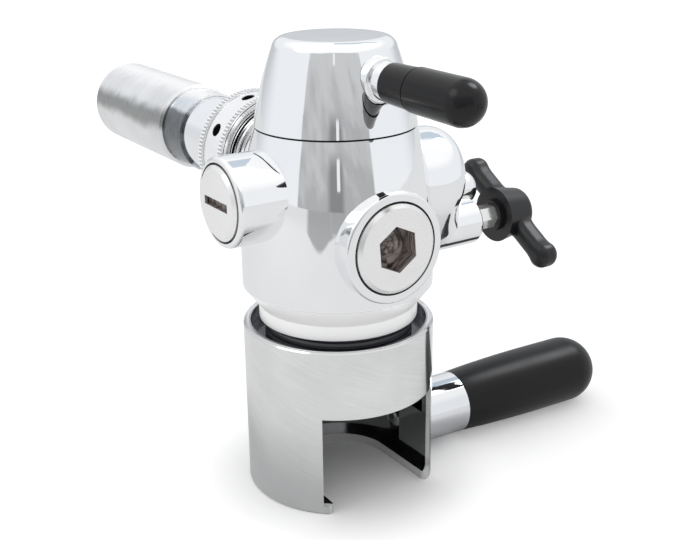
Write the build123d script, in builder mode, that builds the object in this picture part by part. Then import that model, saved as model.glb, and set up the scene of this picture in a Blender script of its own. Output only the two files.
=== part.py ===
from build123d import *
import os

# Counter-pressure wine tap that fills a bottle held in its clamp.
# Millimetres, +Z up. The origin is on the tap's axis at the foot of the bottle clamp.
# The clamp's window faces -Y, the supply tube runs back along +Y,
# the clamp handle and the vent knob point along +X.

# Clearances
slip = 0.05          # radial, between a piece and what it is screwed or pressed into
running = 0.08       # radial, between pieces that turn or slide on each other
face_gap = 0.05      # axial, between faces that slide on each other

# Bottle clamp
cup_radius = 27.0
cup_height = 48.9
flange_thickness = 2.7
slot_radius = 15.3           # takes the 28 mm neck below a bottle's support ring
slot_mouth_half = 15.4
foot_round = 1.4
window_half_width = 18.36
window_top = 29.3
pocket_radius = 18.9
pocket_top = 19.35
cup_wall = 2.8
rim_wall = 2.0
rim_chamfer = 0.5
clamp_travel = 5.0

# Lift ring that carries the clamp on the neck's thread
lift_ring_width = 3.3        # from the neck's thread to the cup's bore
lift_ring_height = 3.0
lift_stop_gap = 0.5          # left between the ring and the neck's shoulder, clamp raised

# Clamp handle, almost along +X
handle_height = 10.65
handle_turn = 2.5            # degrees from +X towards the window
stud_radius = 3.6
stud_start = 18.6
stud_end = 62.0
stud_dome = 2.2
ferrule_radius = 9.4
ferrule_end_radius = 9.5
ferrule_end = 41.0
grip_radius = 10.6
grip_full_at = 74.0
grip_end = 96.4

# Neck under the barrel
neck_shoulder = 1.5          # by which the band stands out of the thread
neck_band_height = 4.0
neck_bottom = 30.0
spigot_radius = 16.0
spigot_height = 9.5
outlet_radius = 5.0
seal_radius = 17.0
seal_proud = 1.5
seal_depth = 3.0
nozzle_wall = 1.4
nozzle_bottom = 20.0
nozzle_tip_radius = 6.4
nozzle_tip_height = 2.4

# Barrel casting
barrel_bottom = 54.5
cone_height = 5.7
barrel_radius = 26.7
straight_height = 10.0
barrel_top = 104.25
barrel_top_radius = 22.0

# Front port with its socket plug, axis -Y
front_port_z = 76.5
front_boss_radius = 15.0
front_boss_reach = 1.2       # from the barrel's side to the port's face
front_plug_radius = 12.0
front_plug_depth = 7.5
socket_across_flats = 11.1
socket_depth = 5.0
socket_turn = 35.0

# Side port with its slotted plug, axis -X
side_port_z = 88.1
side_boss_radius = 12.05
side_boss_reach = 9.1
side_plug_radius = 10.0
side_plug_depth = 6.5
slot_length = 12.4
slot_width = 2.3
slot_depth = 1.8

port_ring_gap = 0.6          # shadow gap filled by each plug's seal
port_seal_height = 2.0
port_well = 3.5
port_passage_radius = 2.0
boss_round = 1.2
front_boss_round = 0.8
plug_proud = 1.0             # each plug's bevelled face stands out of its boss
plug_bevel = 0.8
seal_recess = 0.3

# Vent chamber on the right side, axis +X
lobe_radius = 17.0
lobe_z = 83.0
lobe_shoulder_reach = 2.5    # from the barrel's side to where the lobe starts to round over
lobe_shoulder_radius = 15.0
lobe_shoulder_z = 84.6
lobe_edge_reach = 7.5
lobe_edge_radius = 13.4
lobe_edge_z = 85.5
lobe_rim_reach = 10.3
lobe_rim_radius = 10.0
lobe_rim_z = 86.4
lobe_rim_inset = 0.3         # how far the lobe's toe draws in from the vent boss
lobe_face_reach = 11.4
lobe_face_radius = 6.5
lobe_face_z = 86.9
lobe_face_inset = 0.7
vent_z = 68.8
vent_boss_radius = 6.95
vent_boss_reach = 21.0
cap_y = 8.0                  # blind cap behind the vent boss
cap_z = 76.6
cap_radius = 5.4
cap_reach = 27.8
cap_stem_radius = 3.0
cap_stem_depth = 6.0
cap_spot_depth = 3.0
cap_dome = 4.4

# Vent valve
vent_bore_radius = 3.2
vent_seat_depth = 19.7       # inside the vent boss's face
vent_orifice_radius = 1.2
vent_tip_length = 4.0
vent_tip_nose = 1.6
vent_stem_radius = 2.5
vent_seal_radius = 4.9
vent_seal_width = 1.5
gland_length = 5.0
gland_proud = 0.5
stem_flats = 6.4
stem_round_radius = 2.6
knob_gap = 9.4               # from the vent boss to the knob's hub
knob_length = 10.9
knob_hub_radius = 8.4
knob_end_radius = 6.6
knob_bore_depth = 8.5
knob_end_round = 2.6
knob_collar_length = 1.4
knob_collar_radius = 4.8
stem_clear = 0.4             # between the gland's face and the stem's hexagon
wing_reach = 18.8
wing_tip_radius = 3.8
wing_neck_width = 6.2
wing_thickness = 7.4
wing_inset = 2.3             # behind the hub's near face
wing_angle = 31.0
wing_blend = 8.0
wing_tip_blend = 8.0
wing_edge_round = 2.8

# Rear inlet, axis +Y
inlet_z = 88.5
inlet_boss_radius = 14.4
inlet_boss_reach = 1.9
nipple_spigot_radius = 12.0
nipple_spigot_depth = 10.0
nipple_neck_radius = 14.2
nipple_neck_length = 3.4
nipple_thread_radius = 15.6
nipple_length = 12.4
nipple_bore_radius = 8.0
gasket_radius = 13.6
gasket_width = 1.5
tube_flange_radius = 14.0
tube_flange_width = 2.0
tube_radius = 12.1
tube_wall = 2.6
tube_end = 98.0
washer_width = 0.6
nut_radius = 18.2
nut_gap = 4.4                # from the inlet boss to the nut
nut_shoulder = 2.5
nut_band_width = 2.8
nut_band_step = 0.35
spanner_hole_radius = 2.0
spanner_hole_depth = 2.2
spanner_holes = 8
spanner_hole_turn = 30.0
sleeve_start = 72.0
sleeve_wall = 0.8
tail_start = 84.6
tail_end = 141.3
tail_radius = 13.95
tail_chamfer = 0.7

# Turning head
seam_height = 0.5
seam_recess = 0.7
dome_lip = 0.1               # by which the head overhangs the barrel
dome_height = 23.05
dome_top_radius = 15.6
dome_swell = 130.0           # radius of the dome's long side curve
dome_round = 3.6
dome_socket_radius = 6.0
dome_socket_depth = 11.0

# Valve inside the barrel
chamber_radius = 11.1
disc_seat_depth = 24.25      # under the barrel's top
disc_thickness = 3.0
disc_port_radius = 2.0
disc_port_offset = 5.5
spindle_flange_height = 6.0
spindle_radius = 8.0
spindle_seal_height = 2.0

# Lever on the head
lever_height = 14.65         # over the head's foot
lever_turn = 6.0             # degrees from straight ahead towards +X
lever_droop = 3.1
rod_radius = 2.5
rod_start = 11.0
rod_end = 47.0
collar_start = 16.6
collar_ring_end = 19.8
collar_round = 0.6
collar_ring_radius = 5.95
collar_neck_radius = 5.0
sleeve_base_start = 23.0
sleeve_base_radius = 5.15
sleeve_base_end_radius = 5.45
lever_grip_start = 32.4
lever_grip_radius = 5.75
lever_grip_full_radius = 5.95
lever_end = 53.4

# Sizes that follow
cone_top = barrel_bottom + cone_height
straight_top = cone_top + straight_height
upper_bore_radius = cup_radius - cup_wall
thread_radius = upper_bore_radius - lift_ring_width
neck_radius = thread_radius + neck_shoulder
rim_bore_radius = cup_radius - rim_wall
thread_top = barrel_bottom - neck_band_height
ring_top = thread_top - clamp_travel - lift_stop_gap
ring_bottom = ring_top - lift_ring_height
seal_top = neck_bottom + seal_depth
dome_bottom = barrel_top + seam_height
dome_top = dome_bottom + dome_height
dome_radius = barrel_top_radius + dome_lip
lever_z = dome_bottom + lever_height
disc_seat_z = barrel_top - disc_seat_depth
rotor_z = disc_seat_z + disc_thickness
flange_z = rotor_z + disc_thickness
spindle_seal_z = flange_z + spindle_flange_height
gland_z = spindle_seal_z + spindle_seal_height
front_boss_face = barrel_radius + front_boss_reach
side_boss_face = barrel_radius + side_boss_reach
inlet_boss_face = barrel_radius + inlet_boss_reach
lobe_shoulder = barrel_radius + lobe_shoulder_reach
lobe_edge = barrel_radius + lobe_edge_reach
lobe_rim = barrel_radius + lobe_rim_reach
lobe_face = barrel_radius + lobe_face_reach
vent_boss_face = barrel_radius + vent_boss_reach
cap_face = barrel_radius + cap_reach
vent_seat_x = vent_boss_face - vent_seat_depth
knob_start = vent_boss_face + knob_gap
knob_end = knob_start + knob_length
knob_collar_start = knob_start - knob_collar_length
wing_start = knob_start + wing_inset
nipple_end = inlet_boss_face + nipple_length
nut_start = inlet_boss_face + nut_gap
tube_flange_start = nipple_end + gasket_width
washer_start = tube_flange_start + tube_flange_width + face_gap
nut_shoulder_start = washer_start + washer_width + face_gap
nut_end = nut_shoulder_start + nut_shoulder
nut_bore_radius = nipple_thread_radius + running
vent_gland_start = vent_boss_face + gland_proud - gland_length
vent_seal_start = vent_gland_start - vent_seal_width
tip_start = vent_seat_x + face_gap
cap_seat_x = lobe_face - cap_spot_depth
tip_end = tip_start + vent_tip_length
stem_hex_start = vent_boss_face + gland_proud + stem_clear
nipple_thread_start = inlet_boss_face + nipple_neck_length
front_plug_face = front_boss_face + plug_proud
front_seal_back = front_boss_face - seal_recess - port_seal_height
front_plug_back = front_boss_face - front_plug_depth
side_plug_face = side_boss_face + plug_proud
side_seal_back = side_boss_face - seal_recess - port_seal_height
side_plug_back = side_boss_face - side_plug_depth
lever_direction = Vector(0, -1, 0).rotate(Axis.Z, lever_turn)
lever_side = Axis((0, 0, 0), Vector(1, 0, 0).rotate(Axis.Z, lever_turn))
lever_axis = Axis((0, 0, lever_z), lever_direction.rotate(lever_side, lever_droop))
lever_plane = Plane(origin=(0, 0, lever_z), z_dir=lever_axis.direction)


supply_axis = Axis((0, 0, inlet_z), (0, 1, 0))
supply_plane = Plane(origin=(0, 0, inlet_z), x_dir=(0, 1, 0), z_dir=(1, 0, 0))
vent_axis = Axis((0, 0, vent_z), (1, 0, 0))
vent_plane = Plane(origin=(0, 0, vent_z), x_dir=(1, 0, 0), z_dir=(0, -1, 0))
handle_direction = Vector(1, 0, 0).rotate(Axis.Z, -handle_turn)
handle_axis = Axis((0, 0, handle_height), handle_direction)
handle_plane = Plane(origin=(0, 0, handle_height), x_dir=handle_direction,
                     z_dir=handle_direction.rotate(Axis.Z, -90))
rod_plane = Plane(origin=(0, 0, lever_z), x_dir=lever_axis.direction, z_dir=lever_side.direction)


def across_x(distance, z, y=0):
    """Plane square to +X whose local Y is up."""
    return Plane(origin=(distance, y, z), x_dir=(0, 1, 0), z_dir=(1, 0, 0))


def across_y(distance, z):
    """Plane square to +Y whose local Y is up."""
    return Plane(origin=(0, distance, z), x_dir=(-1, 0, 0), z_dir=(0, 1, 0))


def across_handle(distance):
    """Plane square to the clamp handle at a distance from the tap's axis."""
    return Plane(origin=(0, 0, handle_height), z_dir=handle_direction).offset(distance)


def across_lever(distance):
    """Plane square to the lever at a distance from the tap's axis."""
    return lever_plane.offset(distance)


def outline(plane, *points):
    """Closed straight-sided outline on a plane, to be turned about an axis."""
    with BuildSketch(plane) as shape:
        with BuildLine():
            Polyline(*points, close=True)
        make_face()
    return shape.sketch


def tube(plane, start, end, inner, outer):
    """Section of a plain tube, bush or ring whose axis is the plane's local X."""
    return outline(plane, (start, inner), (end, inner), (end, outer), (start, outer))


def egg(distance, z, radius, inset):
    """Hull of the lobe's round and the vent boss, square to +X at a distance."""
    with BuildSketch(across_x(distance, 0)) as shape:
        with Locations((0, z)):
            Circle(radius)
        with Locations((0, vent_z)):
            Circle(vent_boss_radius - inset)
        make_hull()
    return shape.sketch


def keep(piece, label):
    """Name a finished piece and write it."""
    piece.part.label = label
    export_step(piece.part, "parts/" + label + ".step")


os.makedirs("parts", exist_ok=True)

# Egg-shaped lobe of the valve body, over the vent passage
with BuildPart() as lobe:
    sections = [
        egg(spigot_radius, lobe_z, lobe_radius, 0),
        egg(lobe_shoulder, lobe_shoulder_z, lobe_shoulder_radius, 0),
        egg(lobe_edge, lobe_edge_z, lobe_edge_radius, 0),
        egg(lobe_rim, lobe_rim_z, lobe_rim_radius, lobe_rim_inset),
        egg(lobe_face, lobe_face_z, lobe_face_radius, lobe_face_inset),
    ]
    loft(sections)

# Valve body: barrel, ports and vent chamber in one casting
with BuildPart() as valve_body:
    with BuildSketch(Plane.XZ):
        with BuildLine():
            foot = Line((0, barrel_bottom), (neck_radius, barrel_bottom))
            cone = Line(foot @ 1, (barrel_radius, cone_top))
            side = Line(cone @ 1, (barrel_radius, straight_top))
            swell = TangentArc(side @ 1, (barrel_top_radius, barrel_top), tangent=side % 1)
            Polyline(swell @ 1, (0, barrel_top), (0, barrel_bottom))
        make_face()
    revolve(axis=Axis.Z)
    # front port
    with BuildSketch(across_y(-front_boss_face, front_port_z)):
        Circle(front_boss_radius)
    extrude(amount=front_boss_face - spigot_radius)
    fillet(valve_body.faces().sort_by(Axis.Y)[0].edges(), front_boss_round)
    # side port
    with BuildSketch(across_x(-side_boss_face, side_port_z)):
        Circle(side_boss_radius)
    extrude(amount=side_boss_face - spigot_radius)
    fillet(valve_body.faces().sort_by(Axis.X)[0].edges(), boss_round)
    # rear inlet
    with BuildSketch(across_y(spigot_radius, inlet_z)):
        Circle(inlet_boss_radius)
    extrude(amount=inlet_boss_face - spigot_radius)
    # vent chamber: an egg-shaped lobe that narrows outwards, and the vent boss on it
    add(lobe.part)
    with BuildSketch(across_x(spigot_radius, vent_z)):
        Circle(vent_boss_radius)
    extrude(amount=vent_boss_face - spigot_radius)
    fillet(valve_body.faces().sort_by(Axis.X)[-1].edges(), boss_round)
    # neck socket, outlet and valve chamber on the main axis
    with BuildSketch(Plane.XY.offset(barrel_bottom)):
        Circle(spigot_radius + slip)
    extrude(amount=spigot_height, mode=Mode.SUBTRACT)
    with BuildSketch(Plane.XY.offset(barrel_bottom)):
        Circle(outlet_radius)
    extrude(amount=disc_seat_z - barrel_bottom, mode=Mode.SUBTRACT)
    with BuildSketch(Plane.XY.offset(disc_seat_z)):
        Circle(chamber_radius)
    extrude(amount=barrel_top - disc_seat_z, mode=Mode.SUBTRACT)
    # front and side wells with their passages
    with BuildSketch(across_y(-front_boss_face, front_port_z)):
        Circle(front_plug_radius + port_ring_gap)
    extrude(amount=front_plug_depth, mode=Mode.SUBTRACT)
    with BuildSketch(across_y(-front_plug_back, front_port_z)):
        Circle(front_plug_radius - port_well)
    extrude(amount=port_well, mode=Mode.SUBTRACT)
    with BuildSketch(across_y(-front_plug_back, front_port_z)):
        Circle(port_passage_radius)
    extrude(amount=front_plug_back, mode=Mode.SUBTRACT)
    with BuildSketch(across_x(-side_boss_face, side_port_z)):
        Circle(side_plug_radius + port_ring_gap)
    extrude(amount=side_plug_depth, mode=Mode.SUBTRACT)
    with BuildSketch(across_x(-side_plug_back, side_port_z)):
        Circle(side_plug_radius - port_well)
    extrude(amount=port_well, mode=Mode.SUBTRACT)
    with BuildSketch(across_x(-side_plug_back, side_port_z)):
        Circle(port_passage_radius)
    extrude(amount=side_plug_back, mode=Mode.SUBTRACT)
    # inlet socket
    with BuildSketch(across_y(inlet_boss_face - nipple_spigot_depth, inlet_z)):
        Circle(nipple_spigot_radius + slip)
    extrude(amount=nipple_spigot_depth, mode=Mode.SUBTRACT)
    with BuildSketch(across_y(0, inlet_z)):
        Circle(outlet_radius)
    extrude(amount=inlet_boss_face - nipple_spigot_depth, mode=Mode.SUBTRACT)
    # vent bore
    with BuildSketch(across_x(vent_seal_start, vent_z)):
        Circle(vent_seal_radius + slip)
    extrude(amount=vent_boss_face - vent_seal_start, mode=Mode.SUBTRACT)
    with BuildSketch(across_x(vent_seat_x, vent_z)):
        Circle(vent_bore_radius)
    extrude(amount=vent_seal_start - vent_seat_x, mode=Mode.SUBTRACT)
    with BuildSketch(across_x(0, vent_z)):
        Circle(vent_orifice_radius)
    extrude(amount=vent_seat_x, mode=Mode.SUBTRACT)
    # socket of the blind cap beside the vent boss
    with BuildSketch(across_x(cap_seat_x, cap_z, cap_y)):
        Circle(cap_radius + slip)
    extrude(amount=cap_face - cap_seat_x, mode=Mode.SUBTRACT)
    with BuildSketch(across_x(cap_seat_x - cap_stem_depth, cap_z, cap_y)):
        Circle(cap_stem_radius + slip)
    extrude(amount=cap_stem_depth, mode=Mode.SUBTRACT)
keep(valve_body, "valve_body")

# Neck: threaded sleeve screwed into the foot of the barrel
with BuildPart() as neck_collar:
    section = outline(
        Plane.XZ,
        (outlet_radius + slip, seal_top),
        (outlet_radius + slip, barrel_bottom + spigot_height - face_gap),
        (spigot_radius, barrel_bottom + spigot_height - face_gap),
        (spigot_radius, barrel_bottom),
        (neck_radius, barrel_bottom),
        (neck_radius, thread_top),
        (thread_radius, thread_top),
        (thread_radius, neck_bottom),
        (seal_radius + slip, neck_bottom),
        (seal_radius + slip, seal_top),
    )
    revolve(section, axis=Axis.Z)
    rim_edges = neck_collar.edges().filter_by(GeomType.CIRCLE).group_by(Axis.Z)[0]
    chamfer(rim_edges.sort_by(SortBy.RADIUS)[-1], rim_chamfer)
keep(neck_collar, "neck_collar")

# Rubber seal that the bottle's mouth is pressed against
with BuildPart() as bottle_seal:
    with BuildSketch(Plane.XY.offset(neck_bottom - seal_proud)):
        Circle(seal_radius)
        Circle(outlet_radius + slip, mode=Mode.SUBTRACT)
    extrude(amount=seal_depth + seal_proud)
    lower_edges = bottle_seal.edges().group_by(Axis.Z)[0]
    chamfer(lower_edges, seal_proud / 2)
keep(bottle_seal, "bottle_seal")

# Nozzle that spreads the wine down the bottle's wall
with BuildPart() as spreader_nozzle:
    section = outline(
        Plane.XZ,
        (outlet_radius - nozzle_wall, nozzle_bottom),
        (outlet_radius - nozzle_wall, barrel_bottom),
        (outlet_radius, barrel_bottom),
        (outlet_radius, nozzle_bottom + 2 * nozzle_tip_height),
        (nozzle_tip_radius, nozzle_bottom + nozzle_tip_height),
        (nozzle_tip_radius, nozzle_bottom),
    )
    revolve(section, axis=Axis.Z)
keep(spreader_nozzle, "spreader_nozzle")

# Front plug with its hexagon socket
with BuildPart() as front_plug:
    with BuildSketch(across_y(-front_plug_face, front_port_z)):
        Circle(front_plug_radius)
    extrude(amount=front_plug_face - front_seal_back)
    with BuildSketch(across_y(-front_seal_back, front_port_z)):
        Circle(front_plug_radius + port_ring_gap - slip)
    extrude(amount=front_seal_back - front_plug_back)
    face_edge = front_plug.faces().sort_by(Axis.Y)[0].edges()
    chamfer(face_edge, plug_proud, plug_bevel, reference=front_plug.faces().sort_by(Axis.Y)[0])
    with BuildSketch(across_y(-front_plug_face, front_port_z)):
        RegularPolygon(socket_across_flats / 2, 6, major_radius=False, rotation=-socket_turn)
    extrude(amount=socket_depth, mode=Mode.SUBTRACT)
keep(front_plug, "front_plug")

with BuildPart() as front_plug_seal:
    with BuildSketch(across_y(-front_seal_back - port_seal_height, front_port_z)):
        Circle(front_plug_radius + port_ring_gap - slip)
        Circle(front_plug_radius + slip, mode=Mode.SUBTRACT)
    extrude(amount=port_seal_height)
keep(front_plug_seal, "front_plug_seal")

# Side plug with its driver slot
with BuildPart() as side_plug:
    with BuildSketch(across_x(-side_plug_face, side_port_z)):
        Circle(side_plug_radius)
    extrude(amount=side_plug_face - side_seal_back)
    with BuildSketch(across_x(-side_seal_back, side_port_z)):
        Circle(side_plug_radius + port_ring_gap - slip)
    extrude(amount=side_seal_back - side_plug_back)
    face_edge = side_plug.faces().sort_by(Axis.X)[0].edges()
    chamfer(face_edge, plug_proud, plug_bevel, reference=side_plug.faces().sort_by(Axis.X)[0])
    with BuildSketch(across_x(-side_plug_face, side_port_z)):
        Rectangle(slot_length, slot_width)
    extrude(amount=slot_depth, mode=Mode.SUBTRACT)
keep(side_plug, "side_plug")

with BuildPart() as side_plug_seal:
    with BuildSketch(across_x(-side_seal_back - port_seal_height, side_port_z)):
        Circle(side_plug_radius + port_ring_gap - slip)
        Circle(side_plug_radius + slip, mode=Mode.SUBTRACT)
    extrude(amount=port_seal_height)
keep(side_plug_seal, "side_plug_seal")

# Domed blind cap beside the vent boss
with BuildPart() as blind_cap:
    with BuildSketch(across_x(cap_seat_x - cap_stem_depth, cap_z, cap_y)):
        Circle(cap_stem_radius)
    extrude(amount=cap_stem_depth)
    with BuildSketch(across_x(cap_seat_x, cap_z, cap_y)):
        Circle(cap_radius)
    extrude(amount=cap_face - cap_seat_x)
    fillet(blind_cap.faces().sort_by(Axis.X)[-1].edges(), cap_dome)
keep(blind_cap, "blind_cap")

# Inlet nipple, gasket, supply tube and its sleeves
with BuildPart() as inlet_nipple:
    section = outline(
        supply_plane,
        (inlet_boss_face - nipple_spigot_depth, nipple_bore_radius),
        (nipple_end, nipple_bore_radius),
        (nipple_end, nipple_thread_radius),
        (nipple_thread_start, nipple_thread_radius),
        (nipple_thread_start, nipple_neck_radius),
        (inlet_boss_face, nipple_neck_radius),
        (inlet_boss_face, nipple_spigot_radius),
        (inlet_boss_face - nipple_spigot_depth, nipple_spigot_radius),
    )
    revolve(section, axis=supply_axis)
keep(inlet_nipple, "inlet_nipple")

with BuildPart() as inlet_gasket:
    revolve(tube(supply_plane, nipple_end, tube_flange_start, nipple_bore_radius, gasket_radius),
            axis=supply_axis)
keep(inlet_gasket, "inlet_gasket")

with BuildPart() as inlet_tube:
    section = outline(
        supply_plane,
        (tube_flange_start, tube_radius - tube_wall),
        (tube_end, tube_radius - tube_wall),
        (tube_end, tube_radius),
        (tube_flange_start + tube_flange_width, tube_radius),
        (tube_flange_start + tube_flange_width, tube_flange_radius),
        (tube_flange_start, tube_flange_radius),
    )
    revolve(section, axis=supply_axis)
keep(inlet_tube, "inlet_tube")

with BuildPart() as tube_sleeve:
    revolve(tube(supply_plane, sleeve_start, tail_start, tube_radius + slip,
                 tube_radius + sleeve_wall), axis=supply_axis)
keep(tube_sleeve, "tube_sleeve")

with BuildPart() as tail_tube:
    revolve(tube(supply_plane, tail_start, tail_end, tube_radius + slip, tail_radius),
            axis=supply_axis)
    rims = tail_tube.edges().filter_by(GeomType.CIRCLE).group_by(SortBy.RADIUS)[-1]
    chamfer(rims, tail_chamfer)
keep(tail_tube, "tail_tube")

# Coupling nut and the washer that it pushes against the tube's flange
with BuildPart() as nut_washer:
    revolve(tube(supply_plane, washer_start, washer_start + washer_width, tube_radius + running,
                 nut_bore_radius - running), axis=supply_axis)
keep(nut_washer, "nut_washer")

with BuildPart() as coupling_nut:
    section = outline(
        supply_plane,
        (nut_start, nut_bore_radius),
        (nut_shoulder_start, nut_bore_radius),
        (nut_shoulder_start, tube_radius + running),
        (nut_end, tube_radius + running),
        (nut_end, nut_radius),
        (nut_end - nut_band_width, nut_radius),
        (nut_end - nut_band_width, nut_radius - nut_band_step),
        (nut_start + nut_band_width, nut_radius - nut_band_step),
        (nut_start + nut_band_width, nut_radius),
        (nut_start, nut_radius),
    )
    revolve(section, axis=supply_axis)
    for index in range(spanner_holes):
        around = Plane(
            origin=(0, (nut_start + nut_end) / 2, inlet_z),
            x_dir=(0, 1, 0),
            z_dir=Vector(-1, 0, 0).rotate(Axis.Y, spanner_hole_turn + index * 360 / spanner_holes),
        )
        with BuildSketch(around.offset(nut_radius - spanner_hole_depth)):
            Circle(spanner_hole_radius)
        extrude(amount=spanner_hole_depth, mode=Mode.SUBTRACT)
keep(coupling_nut, "coupling_nut")

# Vent valve: seal, gland, needle tip, stem and wing knob
with BuildPart() as vent_seal:
    revolve(tube(vent_plane, vent_seal_start, vent_gland_start, vent_stem_radius + running,
                 vent_seal_radius), axis=vent_axis)
keep(vent_seal, "vent_seal")

with BuildPart() as vent_gland:
    revolve(tube(vent_plane, vent_gland_start, vent_boss_face + gland_proud,
                 vent_stem_radius + running, vent_seal_radius), axis=vent_axis)
keep(vent_gland, "vent_gland")

with BuildPart() as vent_tip:
    section = outline(
        vent_plane,
        (tip_start, 0),
        (tip_end, 0),
        (tip_end, vent_bore_radius - running),
        (tip_start + vent_tip_length / 2, vent_bore_radius - running),
        (tip_start, vent_tip_nose),
    )
    revolve(section, axis=vent_axis)
keep(vent_tip, "vent_tip")

with BuildPart() as vent_stem:
    with BuildSketch(across_x(tip_end + face_gap, vent_z)):
        Circle(vent_stem_radius)
    extrude(amount=stem_hex_start - tip_end - face_gap)
    with BuildSketch(across_x(stem_hex_start, vent_z)):
        RegularPolygon(stem_flats / 2, 6, major_radius=False)
    extrude(amount=knob_collar_start - stem_hex_start)
    with BuildSketch(across_x(knob_collar_start, vent_z)):
        Circle(stem_round_radius)
    extrude(amount=knob_bore_depth - face_gap)
keep(vent_stem, "vent_stem")

with BuildPart() as wings:
    with BuildSketch(across_x(wing_start, vent_z)) as wing_outline:
        Circle(knob_end_radius)
        Rectangle(2 * wing_reach, wing_neck_width, rotation=wing_angle)
        with PolarLocations(wing_reach, 2, wing_angle):
            Circle(wing_tip_radius)
        corners = wing_outline.vertices().sort_by_distance((0, 0))
        fillet(corners[:4], wing_blend)
        corners = wing_outline.vertices().sort_by_distance((0, 0))
        fillet(corners[-4:], wing_tip_blend)
    extrude(amount=wing_thickness)
    fillet(wings.faces().filter_by(Axis.X).edges(), wing_edge_round)

with BuildPart() as wing_knob:
    section = outline(
        vent_plane,
        (knob_collar_start, 0),
        (knob_end, 0),
        (knob_end, knob_end_radius),
        (knob_start, knob_hub_radius),
        (knob_start, knob_collar_radius),
        (knob_collar_start, knob_collar_radius),
    )
    revolve(section, axis=vent_axis)
    fillet(wing_knob.faces().sort_by(Axis.X)[-1].edges(), knob_end_round)
    add(wings.part)
    with BuildSketch(across_x(knob_collar_start, vent_z)):
        Circle(stem_round_radius + slip)
    extrude(amount=knob_bore_depth, mode=Mode.SUBTRACT)
keep(wing_knob, "wing_knob")

# Valve inside the barrel: fixed disc, turning disc, spindle, its seal and gland
with BuildPart() as seat_disc:
    with BuildSketch(Plane.XY.offset(disc_seat_z)):
        Circle(chamber_radius - slip)
        with PolarLocations(disc_port_offset, 2):
            Circle(disc_port_radius, mode=Mode.SUBTRACT)
    extrude(amount=disc_thickness - face_gap)
keep(seat_disc, "seat_disc")

with BuildPart() as rotor_disc:
    with BuildSketch(Plane.XY.offset(rotor_z)):
        Circle(chamber_radius - running)
        with PolarLocations(disc_port_offset, 2, 90):
            Circle(disc_port_radius, mode=Mode.SUBTRACT)
    extrude(amount=disc_thickness)
keep(rotor_disc, "rotor_disc")

with BuildPart() as head_spindle:
    section = outline(
        Plane.XZ,
        (0, flange_z),
        (chamber_radius - running, flange_z),
        (chamber_radius - running, spindle_seal_z - face_gap),
        (spindle_radius, spindle_seal_z - face_gap),
        (spindle_radius, dome_bottom),
        (dome_socket_radius, dome_bottom),
        (dome_socket_radius, dome_bottom + dome_socket_depth),
        (0, dome_bottom + dome_socket_depth),
    )
    revolve(section, axis=Axis.Z)
keep(head_spindle, "head_spindle")

with BuildPart() as spindle_seal:
    with BuildSketch(Plane.XY.offset(spindle_seal_z)):
        Circle(chamber_radius - slip)
        Circle(spindle_radius + running, mode=Mode.SUBTRACT)
    extrude(amount=spindle_seal_height)
keep(spindle_seal, "spindle_seal")

with BuildPart() as spindle_gland:
    with BuildSketch(Plane.XY.offset(gland_z)):
        Circle(chamber_radius - slip)
        Circle(spindle_radius + running, mode=Mode.SUBTRACT)
    extrude(amount=barrel_top - gland_z)
keep(spindle_gland, "spindle_gland")

# Dark washer in the seam under the head
with BuildPart() as head_washer:
    with BuildSketch(Plane.XY.offset(barrel_top)):
        Circle(barrel_top_radius - seam_recess)
        Circle(spindle_radius + running, mode=Mode.SUBTRACT)
    extrude(amount=seam_height - face_gap)
keep(head_washer, "head_washer")

# Turning head
with BuildPart() as dome_head:
    with BuildSketch(Plane.XZ):
        with BuildLine():
            base = Line((0, dome_bottom), (dome_radius, dome_bottom))
            flank = RadiusArc(base @ 1, (dome_top_radius, dome_top), -dome_swell)
            Polyline(flank @ 1, (0, dome_top), (0, dome_bottom))
        make_face()
    revolve(axis=Axis.Z)
    fillet(dome_head.faces().sort_by(Axis.Z)[-1].edges(), dome_round)
    with BuildSketch(Plane.XY.offset(dome_bottom)):
        Circle(dome_socket_radius + slip)
    extrude(amount=dome_socket_depth, mode=Mode.SUBTRACT)
    with BuildSketch(across_lever(collar_start)):
        Circle(collar_ring_radius + slip)
    extrude(amount=dome_radius, mode=Mode.SUBTRACT)
    with BuildSketch(across_lever(rod_start)):
        Circle(rod_radius + slip)
    extrude(amount=dome_radius, mode=Mode.SUBTRACT)
keep(dome_head, "dome_head")

# Lever: steel rod, bright collar, black base ring and grip
with BuildPart() as lever_rod:
    with BuildSketch(across_lever(rod_start)):
        Circle(rod_radius)
    extrude(amount=rod_end - rod_start)
keep(lever_rod, "lever_rod")

with BuildPart() as lever_collar:
    section = outline(
        rod_plane,
        (collar_start, rod_radius + slip),
        (sleeve_base_start, rod_radius + slip),
        (sleeve_base_start, collar_neck_radius),
        (collar_ring_end, collar_neck_radius),
        (collar_ring_end, collar_ring_radius),
        (collar_start, collar_ring_radius),
    )
    revolve(section, axis=lever_axis)
    ring_edge = lever_collar.edges().filter_by(GeomType.CIRCLE).group_by(SortBy.RADIUS)[-1]
    fillet(ring_edge, collar_round)
keep(lever_collar, "lever_collar")

with BuildPart() as lever_base:
    section = outline(
        rod_plane,
        (sleeve_base_start, rod_radius + slip),
        (lever_grip_start, rod_radius + slip),
        (lever_grip_start, sleeve_base_end_radius),
        (sleeve_base_start, sleeve_base_radius),
    )
    revolve(section, axis=lever_axis)
keep(lever_base, "lever_base")

with BuildPart() as lever_grip:
    with BuildSketch(rod_plane):
        with BuildLine():
            root = Line((lever_grip_start, 0), (lever_grip_start, lever_grip_radius))
            flank = Line(root @ 1, (lever_end - lever_grip_full_radius, lever_grip_full_radius))
            nose = TangentArc(flank @ 1, (lever_end, 0), tangent=(1, 0))
            Line(nose @ 1, root @ 0)
        make_face()
    revolve(axis=lever_axis)
    with BuildSketch(across_lever(lever_grip_start)):
        Circle(rod_radius + slip)
    extrude(amount=rod_end - lever_grip_start, mode=Mode.SUBTRACT)
keep(lever_grip, "lever_grip")

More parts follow.
